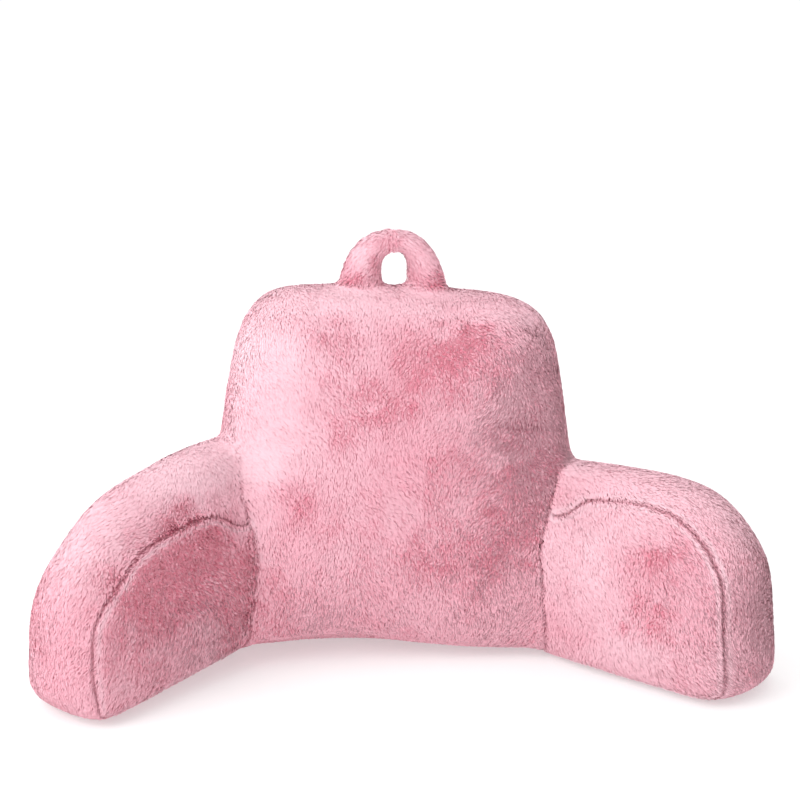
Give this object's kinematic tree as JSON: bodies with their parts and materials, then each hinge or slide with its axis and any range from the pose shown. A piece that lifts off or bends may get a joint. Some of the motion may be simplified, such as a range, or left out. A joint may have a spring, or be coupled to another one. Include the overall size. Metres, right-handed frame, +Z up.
{
  "type": "reading pillow with arms",
  "caption": "Plush fur reading pillow that stands on a bed or floor: a reclined back cushion with splayed padded arms and a carry handle on top.",
  "frame": {"origin": "on the floor, at the middle of the box round the whole pillow", "axes": "+X across the pillow from the left arm to the right arm, -Y the way the sitter faces, +Z up"},
  "size_m": [0.8102, 0.3382, 0.4847],
  "materials": {
    "plush_fur": "soft pink plush fur, short dense pile"
  },
  "bodies": {
    "root": {"back_cushion": "plush_fur", "arm_left": "plush_fur", "arm_right": "plush_fur", "handle": "plush_fur"}
  },
  "joints": []
}
